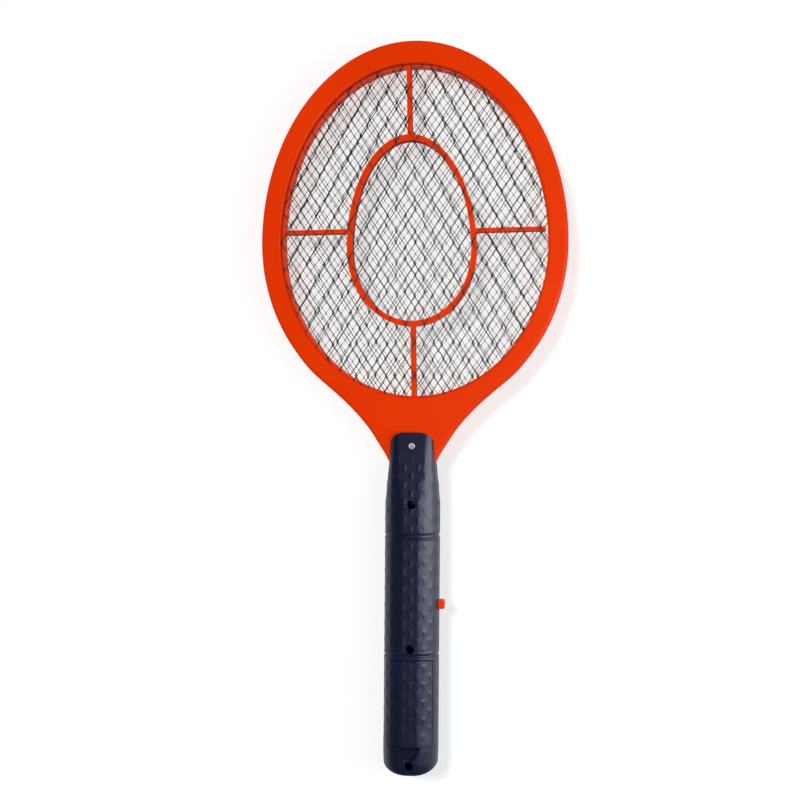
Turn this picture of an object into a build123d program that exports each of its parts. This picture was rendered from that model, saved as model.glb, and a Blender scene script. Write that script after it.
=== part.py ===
from build123d import *
import math
import os

os.makedirs("parts", exist_ok=True)

# Electric fly swatter lying on its front, battery door up. Millimetres.
# X runs across the head, Y from the handle's end toward the head, Z up.
# Z = 0 is the surface under the handle; the two halves of everything meet at mid_z.

mid_z = 15.0

# head frame: an egg, two half-ellipses about one widest line, flaring into a neck
egg_y = 98.9
frame_half_width = 92.3
frame_up = 121.1
frame_down = 103.5
open_half_width = 80.6
open_up = 107.1
open_down = 93.2
frame_half_depth = 8.5
frame_top_wall = 1.8
frame_side_wall = 2.2
frame_outer_round = 2.3
frame_inner_round = 1.2
flare_points = [(88.6, 70.0), (78.8, 45.0), (69.0, 30.0), (60.4, 20.0), (52.0, 12.7), (43.5, 5.4),
                (35.9, -1.9), (29.4, -9.1), (23.9, -16.4), (19.4, -23.6)]
neck_half_width = 14.0
shoulder_y = -33.0
tenon_half_width = 10.8
tenon_end_y = -52.0
tenon_half_depth = 7.5
tenon_wall = 1.6

# pegs that join the two frame halves, between the separator rim and the side wall
peg_angles = [25, 60, 90, 120, 155, 195, 225, 315, 345]
peg_radius = 1.0
socket_radius = 1.9

# separators: a channel-shaped rim, four spokes and a small egg ring
rim_outside = 4.2
rim_inside = 1.0
rim_web = 1.8
rim_flange = 1.2
separator_low = 0.3
separator_high = 5.95
spoke_width = 2.6
side_spoke_width = 2.1
ring_half_width = 37.5
ring_up = 67.1
ring_down = 45.0
ring_y = 95.3
rim_shift = 0.7
spoke_depth = 3.2
left_spoke_y = 106.8
right_spoke_y = 105.6
ring_band = 3.2
inner_turn = 1.3
inner_turn_y = 25.0

# meshes: cell width and height, bond width and height, strand width, sheet thickness
coarse_cell = (11.6, 20.0)
coarse_bond = (1.3, 3.0)
coarse_strand = 0.6
coarse_sheet = 0.6
coarse_low = 6.02
fine_cell = (9.4, 13.0)
fine_strand = 0.6
fine_sheet = 0.5
tab_width = 5.0
tab_end_y = -9.0
lead_x = 6.2

# handle outside: y, width, depth and corner radius at stations along it
front_stations = [
    (-57.3, 33.2, 30.0, 13.0),
    (-57.0, 32.9, 29.6, 12.6),
    (-51.0, 31.9, 29.2, 11.4),
    (-45.0, 30.8, 28.6, 9.8),
    (-38.0, 29.3, 27.8, 8.2),
    (-33.0, 28.2, 27.2, 7.2),
    (-24.0, 26.4, 25.6, 5.6),
    (-15.2, 25.2, 23.6, 4.6),
]
dome_start_y = -211.0
dome_length = 9.0
dome_inset = 2.6
dome_steps = 8
grip_start_y = -57.3
grip_end_y = -205.0
grip_width = 33.2
grip_depth = 30.0
grip_corner = 13.0
wall = 1.9
cavity_end_y = -213.5
tongue_corner = 8.6
groove_ys = [-76.9, -148.5]
groove_width = 1.0
groove_depth = 0.6

# screws down the middle of the handle
tongue_screw_y = -23.3
deep_screws = [(-58.2, 2.6, 4.2), (-144.4, 2.6, 4.2), (-213.8, 2.5, 3.7)]
end_round_y = -211.0
deep_seat_z = 12.0
deep_boss_floor = 1.5
tongue_seat_z = 25.2
screw_head_radius = 2.2
screw_head_height = 1.6
screw_shank_radius = 1.2
tongue_screw_length = 14.0
deep_screw_length = 8.0
post_radius = 3.4
joint_gap = 0.2

# battery door and its latch recess
door_half_width = 13.3
door_start_y = -151.0
door_end_y = -202.4
door_gap = 0.3
recess_half_width = 6.2
recess_length = 7.9
latch_slot_width = 1.6
latch_slot_depth = 4.2
scoop_near_depth = 0.9
scoop_far_depth = 2.3

# batteries, AA size
cell_radius = 7.1
cell_length = 49.3
nub_radius = 2.7
nub_length = 1.2
cell_x = 7.2
cell_z = 17.5
bulkhead_front_y = -150.2
bulkhead_back_y = -206.1
bulkhead_thickness = 1.3
bulkhead_top_z = 24.0
contact_thickness = 0.5
bump_height = 0.4
spring_length = 4.0
spring_wire = 0.4

# push button and the switch behind it
button_y = -118.6
button_length = 5.3
button_height = 9.0
button_out = 3.2
button_travel = 1.5
flange_x = 13.6

# circuit board
board_half_width = 12.0
board_front_y = -66.0
board_back_y = -138.0
board_bottom_z = 10.8
board_thickness = 1.2
board_top_z = board_bottom_z + board_thickness
board_screws = [(-9.0, -74.0), (9.0, -128.0)]
led_y = -71.0
lead_radius = 0.6


def block(x0, x1, y0, y1, z0, z1):
    """Box between two corners."""
    centre = Pos((x0 + x1) / 2, (y0 + y1) / 2, (z0 + z1) / 2)
    return centre * Box(abs(x1 - x0), abs(y1 - y0), abs(z1 - z0))


def post(x, y, z0, z1, radius):
    """Upright cylinder between two heights."""
    return Pos(x, y, (z0 + z1) / 2) * Cylinder(radius, abs(z1 - z0))


def rod(start, end, radius):
    """Cylinder between two points."""
    line = Line(start, end)
    return sweep(Plane(origin=line @ 0, z_dir=line % 0) * Circle(radius), path=line)


def wire(points, radius, bends):
    """Round wire of straight runs joined by arcs of the given radii."""
    path = FilletPolyline(*points, radius=bends)
    tube = sweep(Plane(origin=path @ 0, z_dir=path % 0) * Circle(radius), path=path)
    print("wire volume over section times length", tube.volume / (math.pi * radius ** 2 * path.length))
    return tube


def slab(face, z0, z1):
    """Flat face drawn in XY, raised between two heights."""
    return extrude(Pos(0, 0, z0) * face, amount=z1 - z0, dir=(0, 0, 1))


def egg(half_width, up, down, y=egg_y):
    """Egg-shaped face: two half-ellipses joined at the widest line."""
    upper = EllipticalCenterArc((0, y), half_width, up, start_angle=0, arc_size=180)
    lower = EllipticalCenterArc((0, y), half_width, down, start_angle=180, arc_size=180)
    return make_face([upper, lower])


def opening_egg(grow):
    """The frame's opening, grown or shrunk all round."""
    return egg(open_half_width + grow, open_up + grow, open_down + grow)


def mirrored(shape):
    """Copy on the other side of the middle plane."""
    return mirror(shape, about=Plane(origin=(0, 0, mid_z), z_dir=(0, 0, 1)))


# ---------------------------------------------------------------- head frame

def shifted_flare(inset):
    """Points of the flare moved inward, square to the curve."""
    chain = [(frame_half_width, egg_y)] + flare_points + [(neck_half_width, shoulder_y)]
    moved = []
    for i in range(1, len(chain) - 1):
        dx = chain[i + 1][0] - chain[i - 1][0]
        dy = chain[i + 1][1] - chain[i - 1][1]
        size = math.hypot(dx, dy)
        moved.append((chain[i][0] + inset * dy / size, chain[i][1] - inset * dx / size))
    return moved


def frame_face(inset):
    """Outline of the frame with its flare, down to the shoulders."""
    half = frame_half_width - inset
    neck = neck_half_width - inset
    right = [(half, egg_y)] + shifted_flare(inset) + [(neck, shoulder_y)]
    left = [(-x, y) for x, y in right]
    tangents = [(0, -1), (-0.45, -1)]
    mirrored_tangents = [(0, -1), (0.45, -1)]
    top = EllipticalCenterArc((0, egg_y), half, frame_up - inset, start_angle=0, arc_size=180)
    right_side = Spline(*right, tangents=tangents)
    left_side = Spline(*left, tangents=mirrored_tangents)
    shoulder = Line((-neck, shoulder_y), (neck, shoulder_y))
    return make_face([top, right_side, left_side, shoulder])


def long_edges(part, z):
    """Edges lying at one height, without the short ones."""
    return part.edges().filter_by_position(Axis.Z, z - 0.01, z + 0.01).filter_by(
        lambda edge: edge.length > 60)


def frame_half():
    """Upper half of the frame, with its neck and tenon, as a thin-walled shell."""
    top_z = mid_z + frame_half_depth
    shell = slab(frame_face(0), mid_z, top_z)
    shell = fillet(long_edges(shell, top_z), frame_outer_round)
    shell -= slab(frame_face(frame_side_wall), mid_z, top_z - frame_top_wall)
    shell -= slab(opening_egg(0), mid_z, top_z + 1)
    rim_edges = [e for e in long_edges(shell, top_z) if e.bounding_box().max.Y < frame_up + egg_y - 9
                 and abs(e.bounding_box().max.X) < open_half_width + 0.5]
    shell = fillet(rim_edges, frame_inner_round)
    shell -= block(-tenon_half_width + tenon_wall, tenon_half_width - tenon_wall,
                   shoulder_y - 1, shoulder_y + 4, mid_z, mid_z + tenon_half_depth - tenon_wall)
    tenon = block(-tenon_half_width, tenon_half_width, tenon_end_y, shoulder_y,
                  mid_z, mid_z + tenon_half_depth)
    tenon -= block(-tenon_half_width + tenon_wall, tenon_half_width - tenon_wall,
                   tenon_end_y - 1, shoulder_y + 1, mid_z, mid_z + tenon_half_depth - tenon_wall)
    shell += tenon
    shell -= post(0, tongue_screw_y, mid_z - 1, top_z + 1, post_radius)
    return shell


def peg_spots():
    """Points midway between the separator rim and the frame's side wall."""
    spots = []
    for angle in peg_angles:
        turn = math.radians(angle)
        high = math.sin(turn) > 0
        rim = open_up + rim_outside if high else open_down + rim_outside
        side = frame_up - frame_side_wall if high else frame_down - frame_side_wall
        half_width = (open_half_width + rim_outside + frame_half_width - frame_side_wall) / 2
        spots.append((half_width * math.cos(turn), egg_y + (rim + side) / 2 * math.sin(turn)))
    return spots


def frame_upper():
    """Battery-door side of the frame, with sockets for the pegs."""
    shell = frame_half()
    roof = mid_z + frame_half_depth - frame_top_wall
    for x, y in peg_spots():
        shell += post(x, y, mid_z + 0.1, roof + 0.2, socket_radius)
        shell -= post(x, y, mid_z, mid_z + 3.6, peg_radius + 0.1)
    return shell


def frame_lower():
    """Front side of the frame, with pegs."""
    shell = mirrored(frame_half())
    floor = mid_z - frame_half_depth + frame_top_wall
    for x, y in peg_spots():
        shell += post(x, y, floor - 0.2, mid_z - 0.1, socket_radius)
        shell += post(x, y, mid_z - 1, mid_z + 3.2, peg_radius)
    return shell


# ---------------------------------------------------------------- separators

def separator():
    """Upper spacer that keeps the coarse mesh away from the fine one."""
    low = mid_z + separator_low
    high = mid_z + separator_high
    rim = slab(opening_egg(rim_outside), low, high) - slab(opening_egg(-rim_inside), low, high)
    channel = slab(opening_egg(rim_outside + 1), low + rim_flange, high - rim_flange)
    channel -= slab(opening_egg(-rim_inside + rim_web), low + rim_flange, high - rim_flange)
    ring = egg(ring_half_width + ring_band / 2, ring_up + ring_band / 2,
               ring_down + ring_band / 2, ring_y)
    ring -= egg(ring_half_width - ring_band / 2, ring_up - ring_band / 2,
                ring_down - ring_band / 2, ring_y)
    half = spoke_width / 2
    side = side_spoke_width / 2
    spoke_low = high - spoke_depth
    inner = slab(ring, spoke_low, high)
    inner += block(-half, half, ring_y + ring_up, egg_y + open_up - 1, spoke_low, high)
    inner += block(-half, half, egg_y - open_down + 1, ring_y - ring_down, spoke_low, high)
    inner += block(-open_half_width, -ring_half_width, left_spoke_y - side, left_spoke_y + side,
                   spoke_low, high)
    inner += block(ring_half_width, open_half_width, right_spoke_y - side, right_spoke_y + side,
                   spoke_low, high)
    turned = Pos(0, inner_turn_y, 0) * Rot(0, 0, inner_turn) * Pos(0, -inner_turn_y, 0) * inner
    turned &= Pos(rim_shift, 0, 0) * slab(opening_egg(-rim_inside + rim_web / 2), low, high)
    return Pos(rim_shift, 0, 0) * (rim - channel) + turned


# ---------------------------------------------------------------- meshes

def hole_outline(cell, bond, strand):
    """Corners of one six-sided hole of expanded metal about its middle."""
    half_w = cell[0] / 2
    half_h = cell[1] / 2
    run = math.hypot(half_w, half_h - bond[1])
    nx = (half_h - bond[1]) / run
    ny = half_w / run
    side_x = half_w - bond[0] / 2
    side_y = bond[1] / 2 + (nx * (half_w - side_x) - strand / 2) / ny
    tip_y = bond[1] / 2 + (nx * half_w - strand / 2) / ny
    return [(side_x, side_y), (0, tip_y), (-side_x, side_y), (-side_x, -side_y), (0, -tip_y),
            (side_x, -side_y)]


def diamond_outline(cell, strand):
    """Corners of one four-sided hole about its middle."""
    half_w = cell[0] / 2
    half_h = cell[1] / 2
    shrink = 1 - strand / 2 * math.hypot(half_w, half_h) / (half_w * half_h)
    return [(half_w * shrink, 0), (0, half_h * shrink), (-half_w * shrink, 0), (0, -half_h * shrink)]


def lattice_spots(cell, reach_x, reach_y):
    """Middles of the staggered cells that cover the opening."""
    spots = []
    rows = math.ceil(reach_y / (cell[1] / 2))
    columns = math.ceil(reach_x / cell[0])
    for row in range(-rows, rows + 1):
        shift = cell[0] / 2 if row % 2 else 0
        for column in range(-columns - 1, columns + 1):
            spots.append((column * cell[0] + shift, egg_y + row * cell[1] / 2))
    return spots


def inside_egg(x, y, grow):
    """True when a point is within the grown opening."""
    height = open_up + grow if y > egg_y else open_down + grow
    return (x / (open_half_width + grow)) ** 2 + ((y - egg_y) / height) ** 2 < 1


def polygon(corners, x, y, z):
    """Closed wire round the corners, moved to a place."""
    return Wire.make_polygon([Vector(x + cx, y + cy, z) for cx, cy in corners], close=True)


def mesh_sheet(cell, corners, z, thickness, tab_x):
    """Sheet of open diamonds cut to the egg, with a narrow plain edge and a tab for its lead."""
    reach_x = open_half_width + 16
    reach_y = open_up + 16
    spots = lattice_spots(cell, reach_x, reach_y)
    spots = [(x, y) for x, y in spots if inside_egg(x, y, rim_outside + cell[1] / 2)]
    border = [(-reach_x - 20, -reach_y - 20), (reach_x + 20, -reach_y - 20),
              (reach_x + 20, reach_y + 20), (-reach_x - 20, reach_y + 20)]
    holes = [polygon(corners, x, y, z) for x, y in spots]
    sheet = Part() + Solid.extrude(Face(polygon(border, 0, egg_y, z), holes), Vector(0, 0, thickness))
    sheet &= slab(opening_egg(rim_outside), z - 1, z + thickness + 1)
    edge_y = egg_y - open_down - rim_outside
    tab = block(tab_x - tab_width / 2, tab_x + tab_width / 2, tab_end_y, edge_y + 3, z, z + thickness)
    band = slab(opening_egg(rim_outside) - opening_egg(rim_outside - 1.2), z, z + thickness)
    return sheet + band + tab


def coarse_mesh(z):
    """Outer mesh of long diamonds."""
    corners = hole_outline(coarse_cell, coarse_bond, coarse_strand)
    return mesh_sheet(coarse_cell, corners, z, coarse_sheet, lead_x)


def middle_mesh():
    """Middle mesh of smaller diamonds."""
    corners = diamond_outline(fine_cell, fine_strand)
    return mesh_sheet(fine_cell, corners, mid_z - fine_sheet / 2, fine_sheet, -lead_x)


# ---------------------------------------------------------------- handle

def section(station, inset=0.0):
    """Rounded rectangle across the handle at one station."""
    y, width, depth, corner = station
    plane = Plane(origin=(0, y, mid_z), x_dir=(1, 0, 0), z_dir=(0, -1, 0))
    return plane * RectangleRounded(width - 2 * inset, depth - 2 * inset, corner - inset)


def grip_prism(inset, y0, y1):
    """Straight part of the handle between two places."""
    face = section((y0, grip_width, grip_depth, grip_corner), inset)
    return extrude(face, amount=abs(y1 - y0), dir=(0, -1, 0))


def dome_stations():
    """Stations of the rounded end, following a quarter ellipse."""
    stations = [(grip_end_y, grip_width, grip_depth, grip_corner)]
    for step in range(dome_steps + 1):
        turn = math.pi / 2 * step / dome_steps
        inset = 0.2 + dome_inset * (1 - math.cos(turn))
        stations.append((dome_start_y - dome_length * math.sin(turn), grip_width - 2 * inset,
                         grip_depth - 2 * inset, grip_corner - inset / 2))
    return stations


def handle_outside():
    """Whole handle as one solid: tapering front, straight grip, domed end."""
    front = loft([section(s) for s in front_stations], ruled=True)
    end = loft([section(s) for s in dome_stations()], ruled=True)
    body = front + grip_prism(0, grip_start_y, grip_end_y) + end
    sides = Polyline((-16.9, end_round_y), (-16.9, -57), (-14.4, -33), (-12.75, -15.2),
                     (12.75, -15.2), (14.4, -33), (16.9, -57), (16.9, end_round_y))
    end_arc = EllipticalCenterArc((0, end_round_y), 16.9, 9.0, start_angle=180, arc_size=180)
    plan = make_face([sides, end_arc])
    plan = fillet(plan.vertices().filter_by_position(Axis.Y, -15.3, -15.1), tongue_corner)
    return body & slab(plan, -1, 31)


def handle_inside():
    """Space inside the handle, behind the shoulders."""
    front = loft([section(s, wall) for s in front_stations[:6]], ruled=True)
    return front + grip_prism(wall, grip_start_y, cavity_end_y)


def groove(y):
    """Ring cut out of the grip's surface."""
    ring = grip_prism(-0.5, y + groove_width / 2, y - groove_width / 2)
    return ring - grip_prism(groove_depth, y + 1, y - 1)


outside = handle_outside()
inside = handle_inside()


def handle_half(z0, z1):
    """Bare shell between two heights, with the slot that takes the neck."""
    shell = (outside & block(-20, 20, -225, -10, z0, z1)) - inside
    slot = frame_half_depth + 0.1
    shell -= block(-20, 20, shoulder_y - 0.1, -10, mid_z - slot, mid_z + slot)
    for y in groove_ys:
        shell -= groove(y)
    return shell


def button_hole():
    """Hole in the handle's side for the push button."""
    half_y = button_length / 2 + door_gap
    half_z = button_height / 2 + door_gap
    return block(10, 18, button_y - half_y, button_y + half_y, mid_z - half_z, mid_z + half_z)


def latch_outline(grow):
    """D-shaped face behind the door, flat side toward it."""
    start = door_end_y - door_gap + 0.1
    arc = EllipticalCenterArc((0, start), recess_half_width + grow, recess_length + grow,
                              start_angle=180, arc_size=180)
    return make_face([arc, Line(arc @ 0, arc @ 1)])


def recess_floor():
    """Floor of the latch recess: a deep slot beside the door, then a scoop that falls away from it."""
    near = door_end_y - door_gap + 0.2
    lip = near - latch_slot_width - 0.1
    far = near - recess_length - 0.4
    profile = Polyline((near, grip_depth - latch_slot_depth), (lip, grip_depth - latch_slot_depth),
                       (lip, grip_depth - scoop_near_depth), (far, grip_depth - scoop_far_depth),
                       (far, 10), (near, 10), close=True)
    return Pos(-10, 0, 0) * extrude(Plane.YZ * make_face(profile), amount=20)


def handle_upper():
    """Door side of the handle: screw wells, door opening, latch recess."""
    shell = handle_half(mid_z, 31)
    for y, well, boss in deep_screws:
        shell += post(0, y, deep_seat_z - deep_boss_floor, 29.5, boss) & outside
        shell -= post(0, y, deep_seat_z, 31, well)
        shell -= post(0, y, 5, 31, screw_shank_radius + 0.3)
    shell += post(0, tongue_screw_y, 20.2, 24.5, post_radius - 0.2)
    shell -= post(0, tongue_screw_y, tongue_seat_z, 31, screw_head_radius + 0.3)
    shell -= post(0, tongue_screw_y, 20, 31, screw_shank_radius + 0.3)
    pad = slab(latch_outline(1.3), 25.0, 29) & outside
    pad -= block(-20, 20, door_end_y - door_gap, -180, 20, 31)
    shell += pad
    shell -= slab(latch_outline(0), 20, 31) - recess_floor()
    half = door_half_width + door_gap
    shell -= block(-half, half, door_end_y - door_gap, door_start_y + door_gap, 20, 31)
    shell -= button_hole()
    return shell


def battery_cradle():
    """End walls and ribs that hold the cells."""
    tray = block(-20, 20, bulkhead_front_y, bulkhead_front_y + bulkhead_thickness, 1, bulkhead_top_z)
    tray += block(-20, 20, bulkhead_back_y, bulkhead_back_y - bulkhead_thickness, 1, bulkhead_top_z)
    tray &= grip_prism(wall + 0.15, bulkhead_front_y + 5, bulkhead_back_y - 5)
    ribs = Part()
    for y in (-162, -178, -194):
        ribs += block(-20, 20, y - 0.6, y + 0.6, 1, 13)
    for side in (-1, 1):
        bore = Pos(side * cell_x, -178, cell_z) * Rot(90, 0, 0) * Cylinder(cell_radius + 0.15, 60)
        ribs -= bore
    ribs &= grip_prism(wall - 0.4, -160, -196)
    foot = grip_prism(wall - 0.4, bulkhead_front_y + 5, bulkhead_back_y - 5)
    foot &= tray_foot()
    return tray + ribs + foot


def tray_foot():
    """Lower part of both end walls, rooted in the shell below the joint line."""
    foot = block(-20, 20, bulkhead_front_y, bulkhead_front_y + bulkhead_thickness, 1, mid_z - 2)
    foot += block(-20, 20, bulkhead_back_y, bulkhead_back_y - bulkhead_thickness, 1, mid_z - 2)
    return foot


def handle_lower():
    """Front side of the handle: screw posts, board posts, battery cradle."""
    shell = handle_half(-1, mid_z)
    for y, well, boss in deep_screws:
        top = deep_seat_z - deep_boss_floor - joint_gap
        shell -= post(0, y, top, mid_z + 1, boss + joint_gap)
        shell += post(0, y, 1, top, min(boss, post_radius)) & outside
        shell -= post(0, y, 3.6, mid_z + 1, screw_shank_radius + 0.05)
    shell += post(0, tongue_screw_y, 4, 20.0, post_radius - 0.2)
    shell -= post(0, tongue_screw_y, 10, 21, screw_shank_radius + 0.05)
    for x, y in board_screws:
        shell += post(x, y, 2.4, board_bottom_z, 2.2) & outside
        shell -= post(x, y, 5, board_bottom_z + 1, 0.85)
    shell += battery_cradle()
    shell -= post(0, led_y, -1, 4, 1.75)
    shell -= button_hole()
    return shell


def handle_screw(y, seat_z, length):
    """Pan-head screw with a cross recess."""
    head = post(0, y, seat_z, seat_z + screw_head_height, screw_head_radius - 0.1)
    head = fillet(head.edges().group_by(Axis.Z)[-1], 0.6)
    top = seat_z + screw_head_height
    head -= block(-1.3, 1.3, y - 0.3, y + 0.3, top - 0.9, top + 1)
    head -= block(-0.3, 0.3, y - 1.3, y + 1.3, top - 0.9, top + 1)
    return head + post(0, y, seat_z - length, seat_z, screw_shank_radius)


def deep_screw_set():
    """The three screws at the bottom of the deep wells."""
    screws = [handle_screw(y, deep_seat_z, deep_screw_length) for y, well, boss in deep_screws]
    return Compound([screw.solid() for screw in screws])


def battery_door():
    """Curved lid with two tabs at its hinge end and a latch bump at the other."""
    lid = grip_prism(0, door_start_y, door_end_y) - grip_prism(wall, door_start_y + 1, door_end_y - 1)
    lid &= block(-door_half_width, door_half_width, door_start_y, door_end_y, 20, 31)
    for x in (-2.8, 2.8):
        lid += block(x - 2.0, x + 2.0, door_start_y - 2.5, door_start_y, 26.9, 28.3)
        lid += block(x - 2.0, x + 2.0, door_start_y - 1, door_start_y + 1.6, 26.9, 27.7)
    lid += block(-4, 4, door_end_y, door_end_y + 1.2, 25.6, 28.3)
    lid += block(-1, 1, door_start_y - 4, door_end_y + 3, 27.2, 28.2)
    return lid


# ---------------------------------------------------------------- button and switch

def push_button():
    """Finger cap with a flange that stops it against the shell's inside."""
    tip_x = grip_width / 2 + button_out
    cap = block(flange_x - 0.5, tip_x, button_y - button_length / 2, button_y + button_length / 2,
                mid_z - button_height / 2, mid_z + button_height / 2)
    cap = fillet(cap.edges().filter_by(Axis.X), 1.2)
    cap = fillet(cap.edges().group_by(Axis.X)[-1], 0.8)
    flange = block(flange_x - 1.0, flange_x, button_y - 4.3, button_y + 4.3,
                   mid_z - 5.4, mid_z + 5.4)
    return cap + flange


def switch_body():
    """Square switch on the board with a bore for its plunger."""
    body = block(4.4, 10.9, button_y - 3.2, button_y + 3.2, board_top_z, mid_z + 3)
    body -= rod((7.4, button_y, mid_z), (12, button_y, mid_z), 1.9)
    for x in (5.6, 9.6):
        for y in (button_y - 3.4, button_y + 3.4):
            body += block(x - 0.3, x + 0.3, y - 0.3, y + 0.3, board_top_z, board_top_z + 1.5)
    return body


def switch_plunger():
    """Round plunger between the switch and the button."""
    return rod((9.4, button_y, mid_z), (flange_x - 1.0, button_y, mid_z), 1.5)


# ---------------------------------------------------------------- electronics

def circuit_board():
    """Board with its two fixing holes and a notch behind the button."""
    board = block(-board_half_width, board_half_width, board_back_y, board_front_y,
                  board_bottom_z, board_top_z)
    board = fillet(board.edges().filter_by(Axis.Z), 1.5)
    for x, y in board_screws:
        board -= post(x, y, 0, 20, 1.3)
    return board - block(10.9, 13, button_y - 4.9, button_y + 4.9, 10, 13)


def board_screw_set():
    """Two small screws that hold the board."""
    screws = []
    for x, y in board_screws:
        head = post(x, y, board_top_z, board_top_z + 1.1, 1.9)
        head -= block(x - 1.1, x + 1.1, y - 0.2, y + 0.2, board_top_z + 0.5, board_top_z + 2)
        screws.append((head + post(x, y, board_top_z - 5.5, board_top_z, 0.8)).solid())
    return Compound(screws)


transformer_y = -87.0
transformer_z = board_top_z + 6.6


def transformer_core():
    """Ferrite core: centre leg, two side legs and two end bars."""
    core = block(-9, 9, transformer_y - 7.8, transformer_y + 7.8, transformer_z - 2.2, transformer_z + 2.2)
    for side in (-1, 1):
        core -= block(-6.6, 6.6, transformer_y + side * 2.4, transformer_y + side * 5.6,
                      transformer_z - 5, transformer_z + 5)
    return core


def transformer_bobbin():
    """Winding former: square tube with two cheeks and a foot."""
    bobbin = block(-6.4, 6.4, transformer_y - 3.2, transformer_y + 3.2, transformer_z - 3.2,
                   transformer_z + 3.2)
    for side in (-1, 1):
        bobbin += block(side * 5.4, side * 6.4, transformer_y - 5.4, transformer_y + 5.4,
                        board_top_z, transformer_z + 5.4)
    bobbin -= block(-7, 7, transformer_y - 2.4, transformer_y + 2.4, transformer_z - 2.2,
                    transformer_z + 2.2)
    return bobbin


def transformer_winding():
    """Copper winding wrapped in tape between the cheeks."""
    coil = block(-5.3, 5.3, transformer_y - 5.0, transformer_y + 5.0, transformer_z - 5.0,
                 transformer_z + 5.0)
    coil = fillet(coil.edges().filter_by(Axis.X), 1.5)
    return coil - block(-6, 6, transformer_y - 3.2, transformer_y + 3.2, transformer_z - 3.2,
                        transformer_z + 3.2)


def storage_capacitor():
    """Film capacitor standing on the board."""
    body = block(-10.5, -4.0, -112.0, -98.0, board_top_z + 0.6, board_top_z + 11.0)
    body = fillet(body.edges(), 1.2)
    for y in (-109.5, -100.5):
        body += post(-7.25, y, board_top_z, board_top_z + 2, 0.35)
    return body


def doubler_capacitors():
    """Two ceramic discs on wire legs."""
    discs = []
    for y in (-110.6, -113.6):
        disc = rod((1.0, y - 0.9, board_top_z + 5.2), (1.0, y + 0.9, board_top_z + 5.2), 3.2)
        disc = fillet(disc.edges(), 0.6)
        for x in (-0.9, 2.9):
            disc += post(x, y, board_top_z, board_top_z + 3.5, 0.3)
        discs.append(disc.solid())
    return Compound(discs)


def axial_part(y, x0, x1, radius, body_half):
    """Cylinder lying across the board on two bent legs."""
    z = board_top_z + radius + 0.3
    middle = (x0 + x1) / 2
    body = rod((middle - body_half, y, z), (middle + body_half, y, z), radius)
    body = fillet(body.edges(), radius * 0.3)
    body += rod((x0, y, z), (x1, y, z), 0.28)
    for x in (x0, x1):
        body += post(x, y, board_top_z, z + 0.28, 0.28)
    return body.solid()


def diodes():
    """Three rectifier diodes."""
    return Compound([axial_part(y, 1.0, 10.5, 1.3, 2.5) for y in (-98.2, -102.2, -106.2)])


def resistors():
    """Three resistors."""
    return Compound([axial_part(y, -6.5, 4.0, 1.1, 3.1) for y in (-125.5, -129.0, -132.5)])


def transistor():
    """Half-round transistor on three legs."""
    body = post(-6.0, -118.0, board_top_z + 2.5, board_top_z + 7.2, 2.4)
    body -= block(-10, -2, -121, -119.4, board_top_z, board_top_z + 9)
    for x in (-7.3, -6.0, -4.7):
        body += block(x - 0.22, x + 0.22, -118.2, -117.8, board_top_z, board_top_z + 3)
    return body


def indicator_led():
    """Small lamp under the board that looks out of the front."""
    lens = post(0, led_y, 1.7, 5.2, 1.5)
    lens += Pos(0, led_y, 1.8) * Sphere(1.5)
    lens += post(0, led_y, 5.0, 5.9, 1.9)
    for x in (-0.75, 0.75):
        lens += block(x - 0.22, x + 0.22, led_y - 0.22, led_y + 0.22, 5.5, board_bottom_z)
    return lens


# ---------------------------------------------------------------- batteries and contacts

def battery(x, tip_y, toward):
    """AA cell lying along Y with its raised end at tip_y."""
    shoulder = tip_y - toward * nub_length
    far = shoulder - toward * cell_length
    can = rod((x, far, cell_z), (x, shoulder, cell_z), cell_radius)
    can = fillet(can.edges(), 0.5)
    return can + rod((x, shoulder, cell_z), (x, tip_y, cell_z), nub_radius)


def coil_spring(x, y0, toward):
    """Squeezed conical spring as three rings joined by short pins."""
    spring = Part()
    reach = spring_length - 2 * spring_wire
    for step, radius in enumerate((3.6, 2.9, 2.2)):
        y = y0 + toward * (spring_wire + reach * step / 2)
        spring += Pos(x, y, cell_z) * Rot(90, 0, 0) * Torus(radius, spring_wire)
    spring += rod((x + 3.25, y0 + toward * spring_wire, cell_z),
                  (x + 3.25, y0 + toward * (spring_wire + reach / 2), cell_z), 0.35)
    spring += rod((x - 2.55, y0 + toward * (spring_wire + reach / 2), cell_z),
                  (x - 2.55, y0 + toward * (spring_wire + reach), cell_z), 0.35)
    return spring


def contact_plate(x0, x1, face_y, toward):
    """Thin plate on the side of an end wall that faces the cells."""
    return block(x0, x1, face_y, face_y + toward * contact_thickness, cell_z - 5, bulkhead_top_z + 0.6)


front_tip_y = bulkhead_front_y - contact_thickness - bump_height
back_tip_y = bulkhead_back_y + contact_thickness + bump_height


def solder_tab(x):
    """Tongue of a contact that folds over the front end wall."""
    return block(x - 1.6, x + 1.6, bulkhead_front_y - contact_thickness, -147.4,
                 bulkhead_top_z + 0.1, bulkhead_top_z + 0.6)


def contact_positive():
    """Front contact for the raised end of the left cell."""
    plate = contact_plate(-cell_x - 4.0, -cell_x + 4.0, bulkhead_front_y, -1)
    bump = rod((-cell_x, bulkhead_front_y - 0.2, cell_z), (-cell_x, front_tip_y, cell_z), 1.8)
    return plate + bump + solder_tab(-cell_x)


def contact_negative():
    """Front contact with the spring for the right cell."""
    plate = contact_plate(cell_x - 4.0, cell_x + 4.0, bulkhead_front_y, -1)
    plate += solder_tab(cell_x)
    return plate + coil_spring(cell_x, bulkhead_front_y - contact_thickness + 0.1, -1)


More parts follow.
